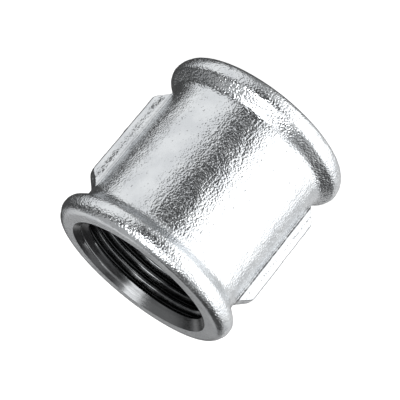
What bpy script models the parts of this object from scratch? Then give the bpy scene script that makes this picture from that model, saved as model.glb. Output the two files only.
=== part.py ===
"""A one-inch banded pipe socket in hot-dip galvanised malleable iron.

The socket is one casting: a plain barrel with a rounded bead round each mouth and two
wrench ribs on opposite sides. It is bored right through, both mouths are chamfered, and
one right-hand parallel pipe thread runs from face to face. Nothing on it moves.

Frame: +Z runs along the bore, the origin is the centre of the lower end face, and the two
ribs stand out along +X and -X. Blender units are metres.
"""

import math

import bmesh
import bpy
from mathutils import Matrix, Vector

MM = 0.001

# The casting
LENGTH = 45.0 * MM  # face to face
BARREL_RADIUS = 19.5 * MM
BEAD_RADIUS = 22.4 * MM  # at the crest of the bead
BEAD_CREST_HEIGHT = 3.1 * MM  # from the end face to that crest
FACE_RADIUS = 20.1 * MM  # outer edge of the flat end face
BEAD_SHOULDER_RADIUS = 1.9 * MM  # rounds the crest into the back slope
BEAD_BACK_SLOPE = math.radians(48)  # of the bead's back, away from the bore's direction
BEAD_FILLET_RADIUS = 2.6 * MM  # where the back slope runs out into the barrel

# The two wrench ribs
RIB_RADIUS = 22.2 * MM  # from the bore's axis to the rib's outer face
RIB_ROOT_RADIUS = 18.2 * MM  # the rib's inner face, buried in the barrel's wall
RIB_ROOT_WIDTH = 7.4 * MM
RIB_CREST_WIDTH = 4.8 * MM
RIB_ROOT_LENGTH = 29.0 * MM
RIB_CREST_LENGTH = 21.6 * MM
RIB_EDGE_RADIUS = 0.6 * MM

# ISO 7-1 Rp 1: a 55 degree parallel pipe thread with 11 turns an inch
THREAD_PITCH = 25.4 * MM / 11
THREAD_MAJOR_RADIUS = 33.249 * MM / 2
THREAD_MINOR_RADIUS = 30.291 * MM / 2
THREAD_FLAT = THREAD_PITCH / 6  # width of the crest and of the root
THREAD_OVERRUN = 1.75 * THREAD_PITCH  # from the tap's lower end, over +X, to the lower face

# The bore before it is tapped
MOUTH_RADIUS = 17.65 * MM  # the 45 degree chamfer's edge on the end face
CORE_RADIUS = 14.0 * MM  # the cored hole, which the tap removes

TURN_STEPS = 40  # sides of every round surface
TAP_TURN = math.pi / TURN_STEPS  # half a side, so that the tap's edges miss the blank's
ARC_STEPS = 4  # edges along each rounded stretch of the outline
BEAD_FRONT_STEPS = 5

GALVANISED_COLOUR = (0.60, 0.62, 0.64, 1.0)
GALVANISED_ROUGHNESS = 0.38


def clear_scene():
    for item in list(bpy.data.objects):
        bpy.data.objects.remove(item, do_unlink=True)


def new_collection(name):
    collection = bpy.data.collections.new(name)
    bpy.context.scene.collection.children.link(collection)
    return collection


def galvanised_iron():
    material = bpy.data.materials.new("galvanised_iron")
    material.use_nodes = True
    shader = material.node_tree.nodes["Principled BSDF"]
    shader.inputs["Base Color"].default_value = GALVANISED_COLOUR
    shader.inputs["Roughness"].default_value = GALVANISED_ROUGHNESS
    shader.inputs["Metallic"].default_value = 1.0
    return material


def new_object(name, mesh, collection):
    item = bpy.data.objects.new(name, mesh)
    collection.objects.link(item)
    return item


def as_cutter(item):
    item.hide_render = True
    item.display_type = "WIRE"


def angles(start, end, steps):
    """Evenly spaced angles from start to end, both included."""
    return [start + (end - start) * i / steps for i in range(steps + 1)]


def bead_outline():
    """(radius, height) points up the outside, from the end face's outer edge to the barrel."""
    front = [
        (
            FACE_RADIUS + (BEAD_RADIUS - FACE_RADIUS) * math.sin(a),
            BEAD_CREST_HEIGHT * (1 - math.cos(a)),
        )
        for a in angles(0, math.pi / 2, BEAD_FRONT_STEPS)
    ]
    shoulder = [
        (
            BEAD_RADIUS - BEAD_SHOULDER_RADIUS * (1 - math.cos(a)),
            BEAD_CREST_HEIGHT + BEAD_SHOULDER_RADIUS * math.sin(a),
        )
        for a in angles(0, BEAD_BACK_SLOPE, ARC_STEPS)[1:]
    ]
    slope_radius, slope_height = shoulder[-1]
    fillet_rise = BEAD_FILLET_RADIUS * (1 - math.cos(BEAD_BACK_SLOPE))
    slope_drop = slope_radius - BARREL_RADIUS - fillet_rise
    fillet_height = slope_height + slope_drop / math.tan(BEAD_BACK_SLOPE)
    fillet = [
        (
            BARREL_RADIUS + BEAD_FILLET_RADIUS * (1 - math.cos(a)),
            fillet_height
            + BEAD_FILLET_RADIUS * (math.sin(BEAD_BACK_SLOPE) - math.sin(a)),
        )
        for a in angles(BEAD_BACK_SLOPE, 0, ARC_STEPS)
    ]
    return front + shoulder + fillet


def blank_outline():
    """The closed (radius, height) section of the casting, with its cored hole and chamfers."""
    chamfer_depth = MOUTH_RADIUS - CORE_RADIUS
    lower = [
        (CORE_RADIUS, chamfer_depth),
        (MOUTH_RADIUS, 0.0),
        *bead_outline(),
    ]
    upper = [(radius, LENGTH - height) for radius, height in reversed(lower)]
    return list(reversed(lower + upper))


def outline_mesh(name, outline, closed):
    """A mesh of the outline's edges in the XZ plane."""
    mesh = bpy.data.meshes.new(name)
    points = [(radius, 0.0, height) for radius, height in outline]
    edges = [(i, i + 1) for i in range(len(points) - 1)]
    if closed:
        edges.append((len(points) - 1, 0))
    mesh.from_pydata(points, edges, [])
    return mesh


def add_screw(item, rise, turns):
    """Turns the object's outline about Z, climbing by rise in each of its turns."""
    screw = item.modifiers.new("turn", "SCREW")
    screw.axis = "Z"
    screw.angle = 2 * math.pi
    screw.screw_offset = rise
    screw.iterations = turns
    screw.steps = TURN_STEPS
    screw.render_steps = TURN_STEPS
    screw.use_merge_vertices = True
    screw.merge_threshold = 0.01 * MM


def apply_modifiers(item):
    bpy.context.view_layer.update()
    graph = bpy.context.evaluated_depsgraph_get()
    mesh = bpy.data.meshes.new_from_object(item.evaluated_get(graph))
    item.modifiers.clear()
    item.data = mesh


def make_blank(collection):
    """The casting without its ribs and thread."""
    blank = new_object(
        "socket_body", outline_mesh("socket_body", blank_outline(), True), collection
    )
    add_screw(blank, 0.0, 1)
    return blank


def make_rib(name, side, collection):
    """A wrench rib along +X or -X, tapering to its outer face and to both ends."""
    mesh = bpy.data.meshes.new(name)
    shape = bmesh.new()
    bmesh.ops.create_cube(shape, size=1.0)
    for corner in shape.verts:
        outer = corner.co.x > 0
        width = RIB_CREST_WIDTH if outer else RIB_ROOT_WIDTH
        length = RIB_CREST_LENGTH if outer else RIB_ROOT_LENGTH
        corner.co.x = RIB_RADIUS if outer else RIB_ROOT_RADIUS
        corner.co.y *= width
        corner.co.z = corner.co.z * length + LENGTH / 2
    if side < 0:
        half_turn = Matrix.Rotation(math.pi, 3, "Z")
        bmesh.ops.transform(shape, matrix=half_turn.to_4x4(), verts=shape.verts)
    shape.to_mesh(mesh)
    shape.free()
    rib = new_object(name, mesh, collection)
    bevel = rib.modifiers.new("cast_edges", "BEVEL")
    bevel.width = RIB_EDGE_RADIUS
    bevel.segments = 2
    bevel.limit_method = "NONE"
    as_cutter(rib)
    return rib


def thread_outline():
    """One pitch of the thread's surface, from a crest, through the root, to the next crest."""
    flank = (THREAD_PITCH - 2 * THREAD_FLAT) / 2
    heights = [0.0, THREAD_FLAT, THREAD_FLAT + flank, 2 * THREAD_FLAT + flank, THREAD_PITCH]
    radii = [
        THREAD_MINOR_RADIUS,
        THREAD_MINOR_RADIUS,
        THREAD_MAJOR_RADIUS,
        THREAD_MAJOR_RADIUS,
        THREAD_MINOR_RADIUS,
    ]
    return [(r, h - THREAD_OVERRUN) for r, h in zip(radii, heights)]


def close_with_fan(shape, rim):
    """Closes an open helical end with a fan of triangles to a point on the axis."""
    made = bmesh.ops.extrude_edge_only(shape, edges=rim)
    verts = [item for item in made["geom"] if isinstance(item, bmesh.types.BMVert)]
    middle = sum(vert.co.z for vert in verts) / len(verts)
    bmesh.ops.pointmerge(shape, verts=verts, merge_co=Vector((0.0, 0.0, middle)))


def make_tap(collection):
    """The tap: a solid whose outer surface is the female thread, longer than the socket."""
    turns = math.ceil((LENGTH + 2 * THREAD_OVERRUN) / THREAD_PITCH)
    tap = new_object("tap", outline_mesh("tap", thread_outline(), False), collection)
    add_screw(tap, THREAD_PITCH, turns)
    apply_modifiers(tap)
    tap.data.transform(Matrix.Rotation(TAP_TURN, 4, "Z"))
    shape = bmesh.new()
    shape.from_mesh(tap.data)
    bmesh.ops.remove_doubles(shape, verts=shape.verts, dist=0.001 * MM)
    rims = [edge for edge in shape.edges if edge.is_boundary]
    lower = [edge for edge in rims if edge.verts[0].co.z < LENGTH / 2]
    upper = [edge for edge in rims if edge.verts[0].co.z > LENGTH / 2]
    close_with_fan(shape, lower)
    close_with_fan(shape, upper)
    bmesh.ops.recalc_face_normals(shape, faces=shape.faces)
    shape.to_mesh(tap.data)
    shape.free()
    as_cutter(tap)
    return tap


def add_boolean(item, other, operation):
    boolean = item.modifiers.new(other.name, "BOOLEAN")
    boolean.operation = operation
    boolean.object = other
    boolean.solver = "EXACT"


def shade(item, sharp_angle):
    item.data.shade_smooth()
    item.data.set_sharp_from_angle(angle=sharp_angle)


def build():
    clear_scene()
    parts = new_collection("pipe_socket")
    cutters = new_collection("cutters")
    body = make_blank(parts)
    add_boolean(body, make_rib("rib_plus_x", 1, cutters), "UNION")
    add_boolean(body, make_rib("rib_minus_x", -1, cutters), "UNION")
    add_boolean(body, make_tap(cutters), "DIFFERENCE")
    apply_modifiers(body)
    body.data.materials.clear()
    body.data.materials.append(galvanised_iron())
    shade(body, math.radians(35))


build()
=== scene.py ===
"""The looks of the banded pipe socket: its finished casting, zinc, camera and studio.

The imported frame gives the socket's place and outer sizes. One closed mesh stands for the CAD
node: a cast outside with filleted wrench ribs, two flat end faces, and inside them the whole
right-hand thread with rounded crests and roots. Lengths are in metres, angles in radians
unless a name says degrees.
"""

import math

import bmesh
import bpy
from mathutils import Matrix, Vector, noise


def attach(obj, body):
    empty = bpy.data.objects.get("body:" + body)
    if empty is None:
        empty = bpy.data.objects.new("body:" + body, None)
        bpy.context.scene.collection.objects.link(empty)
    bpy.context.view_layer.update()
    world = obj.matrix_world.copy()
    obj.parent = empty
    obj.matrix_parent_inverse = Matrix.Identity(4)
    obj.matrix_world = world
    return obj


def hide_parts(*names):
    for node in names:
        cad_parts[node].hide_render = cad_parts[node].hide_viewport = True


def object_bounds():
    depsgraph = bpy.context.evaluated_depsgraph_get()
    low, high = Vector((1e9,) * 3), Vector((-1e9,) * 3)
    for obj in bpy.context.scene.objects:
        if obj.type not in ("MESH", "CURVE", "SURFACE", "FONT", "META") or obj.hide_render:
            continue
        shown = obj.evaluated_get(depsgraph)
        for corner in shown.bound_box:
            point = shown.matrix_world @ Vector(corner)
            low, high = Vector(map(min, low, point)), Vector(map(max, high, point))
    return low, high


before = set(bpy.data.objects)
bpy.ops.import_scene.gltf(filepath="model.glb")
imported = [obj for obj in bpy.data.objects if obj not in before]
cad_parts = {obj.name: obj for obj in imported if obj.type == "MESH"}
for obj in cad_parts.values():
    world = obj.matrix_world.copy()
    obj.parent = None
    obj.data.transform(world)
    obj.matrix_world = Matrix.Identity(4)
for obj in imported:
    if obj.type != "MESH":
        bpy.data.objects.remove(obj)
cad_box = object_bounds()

MM = 0.001
SOCKET_NODE = "socket_body"
SOCKET_BODY = "root"
CUT_IRON_INDEX = 1  # among the socket's materials, after the zinc

# Outside of the casting. The frame gives its length and the radius of its beads.
LENGTH = cad_box[1][2] - cad_box[0][2]
MIDDLE = LENGTH / 2
BEAD_RADIUS = cad_box[1][0]
BEAD_CREST_HEIGHT = 3.1 * MM
FACE_RADIUS = 20.1 * MM
BARREL_RADIUS = 19.5 * MM
BEAD_SHOULDER_RADIUS = 1.9 * MM
BEAD_BACK_SLOPE = math.radians(48)
BEAD_FILLET_RADIUS = 2.6 * MM
BARREL_SPACING = 0.34 * MM  # between neighbouring points on the barrel
MOUTH_LIP = 0.2 * MM  # from the chamfer's edge to the outside's first ring of points
FACE_STEPS = 4
BEAD_FRONT_STEPS = 13
BEAD_SHOULDER_STEPS = 6
BEAD_SLOPE_STEPS = 5
BEAD_FILLET_STEPS = 7

# The wrench ribs
RIB_RADIUS = 22.2 * MM
RIB_CREST_HALF_WIDTH = 2.3 * MM
RIB_CREST_HALF_LENGTH = 10.8 * MM
RIB_FLANK_RUN = 0.358  # sideways for each unit of height
RIB_END_RUN = 0.925  # lengthways for each unit of height
RIB_EDGE_BLEND = 1.4 * MM
RIB_END_BLEND = 0.7 * MM
RIB_ROOT_BLEND = 1.0 * MM
RIB_CREST_ZONE = 1.8 * MM  # half width of the stretch whose columns stand wide apart
RIB_ZONE = 5.0 * MM  # half width of the stretch with closer columns
RIB_CREST_COLUMNS = 5
RIB_FLANK_COLUMNS = 22

# The bore
PITCH = 25.4 * MM / 11
MAJOR_RADIUS = 33.249 * MM / 2
MINOR_RADIUS = 30.291 * MM / 2
THREAD_HALF_ANGLE = math.radians(27.5)
THREAD_ROUNDING = 0.137329 * PITCH
# The height of a crest's middle over +X, as the CAD has it: half of the crest's flat and a
# quarter of a pitch up, less what the tap's turn by half of one of its 40 sides takes off
THREAD_START = PITCH * (1 / 12 + 1 / 4 - 1 / 80)
MOUTH_RADIUS = 17.65 * MM
BORE_COLUMNS = 180
SPARE_TURNS_BELOW = 2  # turns of points that start below the lower end face
SPARE_TURNS = 3  # turns of points beyond the socket's own length
MERGE_DISTANCE = 0.00001 * MM
FACE_TOLERANCE = 0.1 * MM  # how far a point of an end face may stand from it
SHARP_ANGLE = math.radians(32)

# Relief of the cast surface, in geometry: (size of the feature, height)
SKIN_WAVES = ((4.5 * MM, 0.06 * MM), (1.7 * MM, 0.045 * MM))
SEAM_HEIGHT = 0.10 * MM
SEAM_WIDTH = 0.5 * MM
SEAM_WAVE = 2.5 * MM
SEAM_USUAL = 0.6  # the seam's usual height, as a share of SEAM_HEIGHT
SEAM_SWING = 0.8  # how far that share swings along the seam

# Where the surface's marks lie, as values from 0 to 1 kept on the outside's points
CREASE_REACH = 0.5 * MM  # round the corner of a rib and the barrel
RIB_FADE = 0.8 * MM  # a rib's surface counts fully from this height over the barrel
ARRIS_LINE = (0.1 * MM, 1.25 * MM)  # heights of the flank's plane over the rib's outer face
ARRIS_FADE = 0.3 * MM
FACE_FADE = 1.2 * MM  # from the end face to the full grain
BEAD_FADE = 0.5 * MM
BARREL_COARSE = 0.7  # the barrel's grain, as a share of the beads' grain
RIB_SMOOTHING = 0.55  # how much less grain a rib has than the barrel

# Zinc. A pattern is a feature's size, the noise's detail, the band of noise used, and what
# the two ends of that band become.
ZINC_DULL = (0.60, 0.62, 0.64, 1)
ZINC_BRIGHT = (0.68, 0.70, 0.715, 1)
PIT_COLOUR = (0.20, 0.205, 0.21, 1)
# painted shade: the dark colour laid in the ribs' root corners and along their rounded edges
PAINTED_SHADE_COLOUR = (0.04, 0.04, 0.042, 1)
ZINC_TONE = (5 * MM, 3, (0.35, 0.65), (0, 1))
ZINC_PITS = (0.8 * MM, 2, (0.66, 0.74), (0, 0.7))
ZINC_ROUGHNESS = (1.6 * MM, 2, (0.3, 0.7), (0.07, 0.16))
# The painted shade in the ribs' root corners and along their rounded edges, and how the corner
# shade fades from the -X side to the +X side
CORNER_SHADE_PATCHES = (0.9 * MM, 2, (0.35, 0.6), (0.7, 1))
CORNER_BAND = (0.3, 0.9)
ARRIS_BAND = (0.2, 0.9)
ARRIS_SHADE = 0.75
SHADE_SIDE_FADE = (-2 * MM, 2 * MM)
SHADE_SIDE_SHARES = (1, 0.3)  # of the painted shade in the ribs' corners, on the -X side and on the +X side
RIB_PITS = (0.5 * MM, 1, (0.53, 0.61), (0, 0.85))
PIT_ROW_INNER = (20.45 * MM, 20.6 * MM)  # distances from the YZ plane
PIT_ROW_OUTER = (20.9 * MM, 21.05 * MM)
GRAIN_SIZE = 0.44 * MM
GRAIN_DETAIL = 1
GRAIN_HEIGHT = 0.165 * MM
GRAIN_SHARES = (0.28, 1.0)  # of that height, on the end faces and on the beads

# Cut iron
IRON_DULL = (0.13, 0.135, 0.14, 1)
IRON_BRIGHT = (0.19, 0.195, 0.20, 1)
# painted shade in the thread's roots: its colour, the radii where it comes in, and its strength
ROOT_SHADE_COLOUR = (0.02, 0.021, 0.022, 1)
CHAMFER_COLOUR = (0.20, 0.205, 0.21, 1)
IRON_TONE = (3 * MM, 3, (0.35, 0.65), (0, 1))
ROOT_SHADE_RADII = (MINOR_RADIUS + 0.3 * MM, MAJOR_RADIUS - 0.2 * MM)
ROOT_SHADE_SHARE = 0.85
CHAMFER_REACH = (1.2 * MM, 2.4 * MM)  # depths from the end face where its tone fades out
RING_SIZE = 0.25 * MM
RING_DETAIL = 3
RING_STRETCH = (0.15, 0.15, 1.0)
RING_BAND = (0.3, 0.7)
RING_ROUGHNESS = (0.14, 0.26)
RING_HEIGHT = 0.01 * MM
RING_ANISOTROPY = 0.9
RING_TURN = 0.25  # of a full turn

# Camera
CAMERA_AZIMUTH = math.radians(1.205)
CAMERA_ELEVATION = math.radians(17.935)
CAMERA_ROLL = math.radians(-141.025)
CAMERA_DISTANCE = 0.400
CAMERA_LENS = 166.2  # mm, on the 36 mm sensor
CAMERA_OFFSET = Vector((-0.275 * MM, -0.10 * MM))  # sideways and up, in the picture's plane

# Studio. A card is its name, its spans of azimuth, from -Y towards +X, and of elevation, the
# softness of its edges, all in degrees, and its strength.
STUDIO_BASE = 0.08
STUDIO_CARDS = (
    ("key", (-112, -7), (-95, 25), 10, 1.9),
    ("key_low", (-20, 22), (-80, -28), 12, 0.6),
    ("fill", (39, 116), (-58, 14), 9, 1.0),
    ("fill_low", (20, 200), (-100, -62), 12, 0.25),
    ("top", (-38, 54), (42, 100), 12, 0.7),
    ("top_spot", (-10, 46), (34, 84), 7, 3.6),
    ("upper_right", (-104, -30), (20, 60), 14, 0.55),
    ("upper_left", (60, 180), (38, 100), 10, 0.42),
    ("rear_right", (-166, -118), (-100, 6), 10, 0.72),
    ("rear_left", (146, 200), (14, 44), 6, 0.62),
    ("rear", (-200, -158), (10, 44), 8, 0.35),
    ("rear_right_up", (-200, -118), (62, 100), 12, 0.25),
)
BACKGROUND = 1.0
FLOOR_SIZE = 4.0
FLOOR_COLOUR = (0.5, 0.5, 0.5, 1)
FLOOR_GLOW = 0.80
WHITE = (1, 1, 1, 1)


def smooth_max(a, b, reach):
    """The larger value, with the corner between them rounded over reach."""
    blend = max(reach - abs(a - b), 0.0) / reach
    return max(a, b) + blend * blend * reach / 4


def smooth_min(a, b, reach):
    return -smooth_max(-a, -b, reach)


def spread(start, end, steps):
    """Evenly spaced values from start to end, both included."""
    return [start + (end - start) * i / steps for i in range(steps + 1)]


def end_outline():
    """(radius, height) points from the lower end face, over its bead, to the barrel."""
    face = [(r, 0.0) for r in spread(MOUTH_RADIUS + MOUTH_LIP, FACE_RADIUS, FACE_STEPS)]
    front = [
        (
            FACE_RADIUS + (BEAD_RADIUS - FACE_RADIUS) * math.sin(a),
            BEAD_CREST_HEIGHT * (1 - math.cos(a)),
        )
        for a in spread(0, math.pi / 2, BEAD_FRONT_STEPS)[1:]
    ]
    shoulder = [
        (
            BEAD_RADIUS - BEAD_SHOULDER_RADIUS * (1 - math.cos(a)),
            BEAD_CREST_HEIGHT + BEAD_SHOULDER_RADIUS * math.sin(a),
        )
        for a in spread(0, BEAD_BACK_SLOPE, BEAD_SHOULDER_STEPS)[1:]
    ]
    slope_radius, slope_height = shoulder[-1]
    fillet_rise = BEAD_FILLET_RADIUS * (1 - math.cos(BEAD_BACK_SLOPE))
    slope_drop = slope_radius - BARREL_RADIUS - fillet_rise
    fillet_height = slope_height + slope_drop / math.tan(BEAD_BACK_SLOPE)
    slope = [
        (
            slope_radius - slope_drop * share,
            slope_height + (fillet_height - slope_height) * share,
        )
        for share in spread(0, 1, BEAD_SLOPE_STEPS)[1:-1]
    ]
    fillet = [
        (
            BARREL_RADIUS + BEAD_FILLET_RADIUS * (1 - math.cos(a)),
            fillet_height
            + BEAD_FILLET_RADIUS * (math.sin(BEAD_BACK_SLOPE) - math.sin(a)),
        )
        for a in spread(BEAD_BACK_SLOPE, 0, BEAD_FILLET_STEPS)
    ]
    return face + front + shoulder + slope + fillet


def casting_outline():
    """The whole outside, from the lower mouth to the upper one."""
    lower = end_outline()
    upper = [(radius, LENGTH - height) for radius, height in reversed(lower)]
    start = lower[-1][1]
    steps = round((LENGTH - 2 * start) / BARREL_SPACING)
    barrel = [(BARREL_RADIUS, z) for z in spread(start, LENGTH - start, steps)[1:-1]]
    return lower + barrel + upper


def column_angles():
    """Angles round the outside, closer together on the ribs' flanks."""
    offsets = spread(0, RIB_CREST_ZONE, RIB_CREST_COLUMNS)[:-1]
    offsets += spread(RIB_CREST_ZONE, RIB_ZONE, RIB_FLANK_COLUMNS)
    rib = [math.asin(y / BARREL_RADIUS) for y in offsets]
    steps = round((math.pi / 2 - rib[-1]) * BARREL_RADIUS / BARREL_SPACING)
    quarter = rib + spread(rib[-1], math.pi / 2, steps)[1:]
    half = quarter + [math.pi - a for a in reversed(quarter[:-1])]
    return half + [math.pi + a for a in half[1:-1]]


def rib_planes(y, z):
    """How far from the YZ plane the planes of a rib's flank and of its end stand here."""
    flank = RIB_RADIUS + (RIB_CREST_HALF_WIDTH - abs(y)) / RIB_FLANK_RUN
    end = RIB_RADIUS + (RIB_CREST_HALF_LENGTH - abs(z - MIDDLE)) / RIB_END_RUN
    return flank, end


def rib_surface(y, z):
    """How far from the YZ plane a rib's surface stands at this place."""
    flank, end = rib_planes(y, z)
    return smooth_min(smooth_min(RIB_RADIUS, flank, RIB_EDGE_BLEND), end, RIB_END_BLEND)


def held_share(value):
    return min(max(value, 0.0), 1.0)


# Where the painted shade in the ribs' root corners lies
def crease_depth(angle, radius, height):
    """1 in the corner where a rib meets the barrel, and 0 away from it."""
    x = radius * math.cos(angle)
    gap = (abs(x) - rib_surface(radius * math.sin(angle), height)) / CREASE_REACH
    return math.exp(-gap * gap)


def rib_share(angle, radius, height):
    """1 on a rib, and 0 on the barrel and the beads."""
    rise = rib_surface(radius * math.sin(angle), height) - abs(radius * math.cos(angle))
    return held_share(rise / RIB_FADE)


# Where the painted shade along the ribs' rounded edges lies
def arris_share(angle, radius, height):
    """1 along the edges of a rib's outer face, and 0 away from them."""
    flank, end = rib_planes(radius * math.sin(angle), height)
    gap = flank - min(RIB_RADIUS, end)
    rise = held_share((gap - ARRIS_LINE[0]) / ARRIS_FADE)
    fall = held_share((ARRIS_LINE[1] - gap) / ARRIS_FADE)
    return rise * fall * rib_share(angle, radius, height)


def grain_share(radius, height, on_rib):
    """1 on the beads, less on the barrel and the ribs, and 0 at the end faces."""
    off_face = min(min(height, LENGTH - height) / FACE_FADE, 1.0)
    bead = held_share((radius - BARREL_RADIUS) / BEAD_FADE)
    coarse = BARREL_COARSE + (1 - BARREL_COARSE) * bead
    return off_face * coarse * (1 - RIB_SMOOTHING * on_rib)


def casting_point(angle, radius, height):
    x = radius * math.cos(angle)
    y = radius * math.sin(angle)
    reach = smooth_max(abs(x), rib_surface(y, height), RIB_ROOT_BLEND)
    return Vector((math.copysign(reach, x), y, height))


def add_outside(shape, marks):
    """The cast outside with its end faces, as a grid of rings. Returns its points."""
    angles = column_angles()
    rings = []
    for radius, height in casting_outline():
        ring = []
        for angle in angles:
            vert = shape.verts.new(casting_point(angle, radius, height))
            vert[marks["crease"]] = crease_depth(angle, radius, height)
            vert[marks["rib"]] = rib_share(angle, radius, height)
            vert[marks["arris"]] = arris_share(angle, radius, height)
            vert[marks["cast"]] = grain_share(radius, height, vert[marks["rib"]])
            ring.append(vert)
        rings.append(ring)
    for lower, upper in zip(rings, rings[1:]):
        for i in range(len(angles)):
            shape.faces.new((lower[i - 1], lower[i], upper[i], upper[i - 1]))
    return [vert for ring in rings for vert in ring]


def thread_radius(height):
    """Radius of the female thread at a height over its start, with round crest and root."""
    from_crest = abs((height / PITCH + 0.5) % 1.0 - 0.5) * PITCH
    from_root = PITCH / 2 - from_crest
    arc_reach = THREAD_ROUNDING * math.cos(THREAD_HALF_ANGLE)
    if from_crest < arc_reach:
        sink = THREAD_ROUNDING - math.sqrt(THREAD_ROUNDING**2 - from_crest**2)
        return MINOR_RADIUS + sink
    if from_root < arc_reach:
        sink = THREAD_ROUNDING - math.sqrt(THREAD_ROUNDING**2 - from_root**2)
        return MAJOR_RADIUS - sink
    arc_depth = THREAD_ROUNDING * (1 - math.sin(THREAD_HALF_ANGLE))
    share = (from_crest - arc_reach) / (PITCH / 2 - 2 * arc_reach)
    start = MINOR_RADIUS + arc_depth
    return start + share * (MAJOR_RADIUS - MINOR_RADIUS - 2 * arc_depth)


def bore_point(raw_height, lift, angle):
    """A point of the bore, held between the end faces and opened out by the chamfers."""
    height = min(max(raw_height + lift, 0.0), LENGTH)
    chamfer = MOUTH_RADIUS - min(height, LENGTH - height)
    radius = max(thread_radius(height - lift - THREAD_START), chamfer)
    return Vector((radius * math.cos(angle), radius * math.sin(angle), height))


def thread_stations():
    """Heights in one pitch, measured from a crest's middle, where rows of points run."""
    reach = THREAD_ROUNDING * math.cos(THREAD_HALF_ANGLE)
    crest = [reach * share for share in (-1.0, -0.5, 0.0, 0.5, 1.0)]
    return crest + [PITCH / 2 + height for height in crest]


def add_bore(shape):
    """The thread as rows of points that climb one pitch in each turn."""
    stations = thread_stations()
    turns = math.ceil(LENGTH / PITCH) + SPARE_TURNS
    heights = [
        THREAD_START + (turn - SPARE_TURNS_BELOW) * PITCH + station
        for turn in range(turns)
        for station in stations
    ]
    rows = []
    for height in heights:
        row = []
        for column in range(BORE_COLUMNS):
            share = column / BORE_COLUMNS
            point = bore_point(height, share * PITCH, 2 * math.pi * share)
            row.append(shape.verts.new(point))
        rows.append(row)
    faces = []
    for i in range(len(rows) - len(stations) - 1):
        lower = rows[i] + rows[i + len(stations)][:1]
        upper = rows[i + 1] + rows[i + len(stations) + 1][:1]
        for j in range(BORE_COLUMNS):
            corners = (lower[j], lower[j + 1], upper[j + 1], upper[j])
            faces.append(shape.faces.new(corners))
    return faces


def turned(vert):
    return math.atan2(vert.co.y, vert.co.x)


def close_mouth(shape, height):
    """Fills the flat ring between the bore's rim and the end face's rim with triangles."""
    rim = [
        vert
        for vert in shape.verts
        if vert.is_boundary and abs(vert.co.z - height) < FACE_TOLERANCE
    ]
    split = MOUTH_RADIUS + MOUTH_LIP / 2
    inner = sorted((v for v in rim if math.hypot(v.co.x, v.co.y) < split), key=turned)
    outer = sorted((v for v in rim if math.hypot(v.co.x, v.co.y) > split), key=turned)
    inner.append(inner[0])
    outer.append(outer[0])
    inner_angles = [turned(v) for v in inner[:-1]] + [turned(inner[0]) + 2 * math.pi]
    outer_angles = [turned(v) for v in outer[:-1]] + [turned(outer[0]) + 2 * math.pi]
    i = 0
    j = 0
    while i < len(inner) - 1 or j < len(outer) - 1:
        inner_is_next = j == len(outer) - 1 or (
            i < len(inner) - 1 and inner_angles[i + 1] <= outer_angles[j + 1]
        )
        if inner_is_next:
            shape.faces.new((inner[i], inner[i + 1], outer[j]))
            i += 1
        else:
            shape.faces.new((inner[i], outer[j + 1], outer[j]))
            j += 1


def skin_relief(place):
    """Height of the cast surface over its ideal shape, with the mould's parting seam."""
    relief = sum(rise * noise.noise(place / size) for size, rise in SKIN_WAVES)
    ragged = SEAM_USUAL + SEAM_SWING * noise.noise(place / SEAM_WAVE)
    seam = SEAM_HEIGHT * ragged * math.exp(-((place.y / SEAM_WIDTH) ** 2))
    return relief + seam


def raise_skin(outside, marks):
    """Moves the outside's points by the cast surface's relief, and holds the end faces flat."""
    for vert in outside:
        share = min(vert[marks["cast"]] / BARREL_COARSE + vert[marks["rib"]], 1.0)
        vert.co += vert.normal * skin_relief(vert.co) * share


def make_socket():
    shape = bmesh.new()
    names = ("cast", "crease", "rib", "arris")
    for name in names:
        shape.verts.layers.float.new(name)
    marks = {name: shape.verts.layers.float[name] for name in names}
    outside = add_outside(shape, marks)
    for face in add_bore(shape):
        face.material_index = CUT_IRON_INDEX
    bmesh.ops.remove_doubles(shape, verts=shape.verts, dist=MERGE_DISTANCE)
    close_mouth(shape, 0.0)
    close_mouth(shape, LENGTH)
    bmesh.ops.recalc_face_normals(shape, faces=shape.faces)
    raise_skin(outside, marks)
    mesh = bpy.data.meshes.new("socket_casting")
    shape.to_mesh(mesh)
    shape.free()
    mesh.shade_smooth()
    mesh.set_sharp_from_angle(angle=SHARP_ANGLE)
    socket = bpy.data.objects.new("socket_casting", mesh)
    bpy.context.scene.collection.objects.link(socket)
    mesh.materials.append(zinc_skin())
    mesh.materials.append(cut_iron())
    return socket


def new_material(name):
    material = bpy.data.materials.new(name)
    material.use_nodes = True
    return material


def link(tree, source, target):
    tree.links.new(source, target)


def object_place(tree):
    return tree.nodes.new("ShaderNodeTexCoord").outputs["Object"]


def split_place(tree, place):
    """The place's X, Y and Z, as outputs named after them."""
    parts = tree.nodes.new("ShaderNodeSeparateXYZ")
    link(tree, place, parts.inputs[0])
    return parts.outputs


def mesh_value(tree, name):
    node = tree.nodes.new("ShaderNodeAttribute")
    node.attribute_name = name
    return node.outputs["Fac"]


def noise_field(tree, place, size, detail):
    """Noise from 0 to 1 with features of this size."""
    node = tree.nodes.new("ShaderNodeTexNoise")
    node.inputs["Scale"].default_value = 1 / size
    node.inputs["Detail"].default_value = detail
    link(tree, place, node.inputs["Vector"])
    return node.outputs["Fac"]


def map_range(tree, value, source, target):
    node = tree.nodes.new("ShaderNodeMapRange")
    node.interpolation_type = "SMOOTHSTEP"
    link(tree, value, node.inputs["Value"])
    node.inputs["From Min"].default_value = source[0]
    node.inputs["From Max"].default_value = source[1]
    node.inputs["To Min"].default_value = target[0]
    node.inputs["To Max"].default_value = target[1]
    return node.outputs["Result"]


def patches(tree, place, pattern):
    """A pattern's noise, as values that run between its two results."""
    size, detail, band, result = pattern
    return map_range(tree, noise_field(tree, place, size, detail), band, result)


def math_node(tree, operation, first, second=None):
    node = tree.nodes.new("ShaderNodeMath")
    node.operation = operation
    for socket, value in zip(node.inputs, (first, second)):
        if isinstance(value, (int, float)):
            socket.default_value = value
        elif value is not None:
            link(tree, value, socket)
    return node.outputs["Value"]


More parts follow.
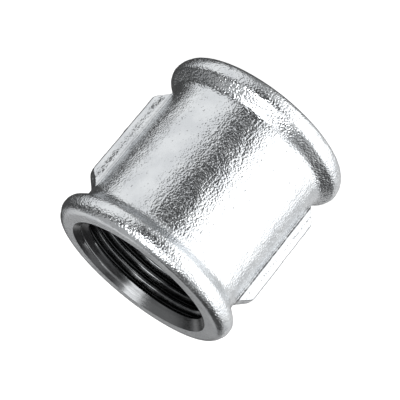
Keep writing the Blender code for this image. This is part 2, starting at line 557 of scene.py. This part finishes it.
def mix_colours(tree, factor, first, second):
    node = tree.nodes.new("ShaderNodeMix")
    node.data_type = "RGBA"
    link(tree, factor, node.inputs["Factor"])
    for socket, value in ((node.inputs[6], first), (node.inputs[7], second)):
        if isinstance(value, tuple):
            socket.default_value = value
        else:
            link(tree, value, socket)
    return node.outputs[2]


def add_bump(tree, height, distance, shader):
    node = tree.nodes.new("ShaderNodeBump")
    node.inputs["Distance"].default_value = distance
    link(tree, height, node.inputs["Height"])
    link(tree, node.outputs["Normal"], shader.inputs["Normal"])


def distance_from_axis(tree, place):
    flatten = tree.nodes.new("ShaderNodeVectorMath")
    flatten.operation = "MULTIPLY"
    link(tree, place, flatten.inputs[0])
    flatten.inputs[1].default_value = (1, 1, 0)
    length = tree.nodes.new("ShaderNodeVectorMath")
    length.operation = "LENGTH"
    link(tree, flatten.outputs[0], length.inputs[0])
    return length.outputs["Value"]


def end_distance(tree, place):
    """Height from the nearer end face."""
    height = split_place(tree, place)["Z"]
    from_middle = math_node(tree, "ABSOLUTE", math_node(tree, "SUBTRACT", height, MIDDLE))
    return math_node(tree, "SUBTRACT", MIDDLE, from_middle)


def corner_shade(tree, place):
    """Painted shade in the ribs' root corners, patchy, and strongest on the -X side."""
    side_share = map_range(tree, split_place(tree, place)["X"], SHADE_SIDE_FADE, SHADE_SIDE_SHARES)
    patchy_shade = math_node(tree, "MULTIPLY", patches(tree, place, CORNER_SHADE_PATCHES), side_share)
    corner = map_range(tree, mesh_value(tree, "crease"), CORNER_BAND, (0, 1))
    return math_node(tree, "MULTIPLY", corner, patchy_shade)


def pit_row(tree, place):
    """The row of small pits along each rib's flanks."""
    away = math_node(tree, "ABSOLUTE", split_place(tree, place)["X"])
    inner = map_range(tree, away, PIT_ROW_INNER, (0, 1))
    outer = map_range(tree, away, PIT_ROW_OUTER, (1, 0))
    band = math_node(tree, "MULTIPLY", inner, outer)
    spots = math_node(tree, "MULTIPLY", band, patches(tree, place, RIB_PITS))
    return math_node(tree, "MULTIPLY", spots, mesh_value(tree, "rib"))


def zinc_skin():
    """Hot-dip zinc over a cast surface: grainy on the casting, smoother on the end faces."""
    material = new_material("zinc_skin")
    tree = material.node_tree
    shader = tree.nodes["Principled BSDF"]
    place = object_place(tree)

    pits = math_node(tree, "MAXIMUM", patches(tree, place, ZINC_PITS), pit_row(tree, place))
    # painted shade: a dark line along the ribs' rounded edges
    arris = map_range(tree, mesh_value(tree, "arris"), ARRIS_BAND, (0, ARRIS_SHADE))
    colour = mix_colours(tree, patches(tree, place, ZINC_TONE), ZINC_DULL, ZINC_BRIGHT)
    colour = mix_colours(tree, pits, colour, PIT_COLOUR)
    # painted shade in the ribs' root corners and along their rounded edges
    colour = mix_colours(tree, corner_shade(tree, place), colour, PAINTED_SHADE_COLOUR)
    colour = mix_colours(tree, arris, colour, PAINTED_SHADE_COLOUR)
    link(tree, colour, shader.inputs["Base Color"])
    link(tree, patches(tree, place, ZINC_ROUGHNESS), shader.inputs["Roughness"])
    shader.inputs["Metallic"].default_value = 1.0

    grain = noise_field(tree, place, GRAIN_SIZE, GRAIN_DETAIL)
    share = map_range(tree, mesh_value(tree, "cast"), (0, 1), GRAIN_SHARES)
    add_bump(tree, math_node(tree, "MULTIPLY", grain, share), GRAIN_HEIGHT, shader)
    return material


def tool_rings(tree, place):
    """Noise drawn out round the bore, like the fine rings a tool leaves."""
    stretch = tree.nodes.new("ShaderNodeMapping")
    stretch.inputs["Scale"].default_value = RING_STRETCH
    link(tree, place, stretch.inputs["Vector"])
    return noise_field(tree, stretch.outputs["Vector"], RING_SIZE, RING_DETAIL)


def draw_sheen_out(tree, shader):
    """Stretches highlights along the bore, across the tool's rings."""
    shader.inputs["Anisotropic"].default_value = RING_ANISOTROPY
    shader.inputs["Anisotropic Rotation"].default_value = RING_TURN
    tangent = tree.nodes.new("ShaderNodeTangent")
    tangent.direction_type = "RADIAL"
    tangent.axis = "Z"
    link(tree, tangent.outputs[0], shader.inputs["Tangent"])


def cut_iron():
    """Bare machined iron in the bore, with painted shade in the thread's roots."""
    material = new_material("cut_iron")
    tree = material.node_tree
    shader = tree.nodes["Principled BSDF"]
    place = object_place(tree)
    rings = tool_rings(tree, place)

    # painted shade, darker towards the thread's roots
    root_shade = map_range(tree, distance_from_axis(tree, place), ROOT_SHADE_RADII, (0, ROOT_SHADE_SHARE))
    chamfer = map_range(tree, end_distance(tree, place), CHAMFER_REACH, (1, 0))
    colour = mix_colours(tree, patches(tree, place, IRON_TONE), IRON_DULL, IRON_BRIGHT)
    colour = mix_colours(tree, root_shade, colour, ROOT_SHADE_COLOUR)
    colour = mix_colours(tree, chamfer, colour, CHAMFER_COLOUR)
    link(tree, colour, shader.inputs["Base Color"])
    roughness = map_range(tree, rings, RING_BAND, RING_ROUGHNESS)
    link(tree, roughness, shader.inputs["Roughness"])
    shader.inputs["Metallic"].default_value = 1.0
    draw_sheen_out(tree, shader)
    add_bump(tree, rings, RING_HEIGHT, shader)
    return material


def make_camera():
    """The camera. It looks down on the upper mouth, and is rolled over."""
    toward_camera = Vector(
        (
            math.sin(CAMERA_AZIMUTH) * math.cos(CAMERA_ELEVATION),
            -math.cos(CAMERA_AZIMUTH) * math.cos(CAMERA_ELEVATION),
            math.sin(CAMERA_ELEVATION),
        )
    )
    turn = (-toward_camera).to_track_quat("-Z", "Y").to_matrix().to_4x4()
    turn = turn @ Matrix.Rotation(CAMERA_ROLL, 4, "Z")
    offset = turn @ Vector((CAMERA_OFFSET.x, CAMERA_OFFSET.y, 0.0))
    place = Vector((0.0, 0.0, MIDDLE)) + toward_camera * CAMERA_DISTANCE + offset
    data = bpy.data.cameras.new("camera")
    data.lens = CAMERA_LENS
    camera = bpy.data.objects.new("camera", data)
    camera.matrix_world = Matrix.Translation(place) @ turn
    bpy.context.scene.collection.objects.link(camera)
    bpy.context.scene.camera = camera


def card_light(tree, azimuth, elevation, card):
    """One soft-edged card of light, as a value over all directions."""
    _, (left, right), (low, high), soft, strength = card
    masks = (
        map_range(tree, azimuth, (left - soft, left + soft), (0, 1)),
        map_range(tree, azimuth, (right - soft, right + soft), (1, 0)),
        map_range(tree, elevation, (low - soft, low + soft), (0, 1)),
        map_range(tree, elevation, (high - soft, high + soft), (1, 0)),
    )
    light = strength
    for mask in masks:
        light = math_node(tree, "MULTIPLY", light, mask)
    return light


def make_studio():
    """Soft cards all round, as the world's light, and a plain pale backdrop."""
    world = bpy.data.worlds.new("studio")
    bpy.context.scene.world = world
    world.use_nodes = True
    tree = world.node_tree
    tree.nodes.clear()
    direction = tree.nodes.new("ShaderNodeTexCoord").outputs["Generated"]
    parts = split_place(tree, direction)
    forward = math_node(tree, "MULTIPLY", parts["Y"], -1.0)
    around = math_node(tree, "ARCTAN2", parts["X"], forward)
    azimuth = math_node(tree, "DEGREES", around)
    elevation = math_node(tree, "DEGREES", math_node(tree, "ARCSINE", parts["Z"]))
    light = STUDIO_BASE
    for card in STUDIO_CARDS:
        light = math_node(tree, "ADD", light, card_light(tree, azimuth, elevation, card))
    studio = tree.nodes.new("ShaderNodeBackground")
    link(tree, light, studio.inputs["Strength"])
    backdrop = tree.nodes.new("ShaderNodeBackground")
    backdrop.inputs["Strength"].default_value = BACKGROUND
    for node in (studio, backdrop):
        node.inputs["Color"].default_value = WHITE
    path = tree.nodes.new("ShaderNodeLightPath")
    choose = tree.nodes.new("ShaderNodeMixShader")
    link(tree, path.outputs["Is Camera Ray"], choose.inputs[0])
    link(tree, studio.outputs[0], choose.inputs[1])
    link(tree, backdrop.outputs[0], choose.inputs[2])
    output = tree.nodes.new("ShaderNodeOutputWorld")
    link(tree, choose.outputs[0], output.inputs["Surface"])
    bpy.context.scene.view_settings.view_transform = "Standard"


def make_floor():
    """A pale floor that glows a little, casts no shadow and shows in no reflection."""
    bpy.ops.mesh.primitive_plane_add(size=FLOOR_SIZE, location=(0, 0, 0))
    floor = bpy.context.object
    floor.name = "floor"
    material = new_material("pale_floor")
    shader = material.node_tree.nodes["Principled BSDF"]
    shader.inputs["Base Color"].default_value = FLOOR_COLOUR
    shader.inputs["Roughness"].default_value = 1.0
    shader.inputs["Specular IOR Level"].default_value = 0.0
    shader.inputs["Emission Color"].default_value = WHITE
    shader.inputs["Emission Strength"].default_value = FLOOR_GLOW
    floor.data.materials.append(material)
    floor.visible_glossy = False
    floor.visible_shadow = False


make_camera()
make_studio()
make_floor()
socket = make_socket()
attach(socket, SOCKET_BODY)
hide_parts(SOCKET_NODE)
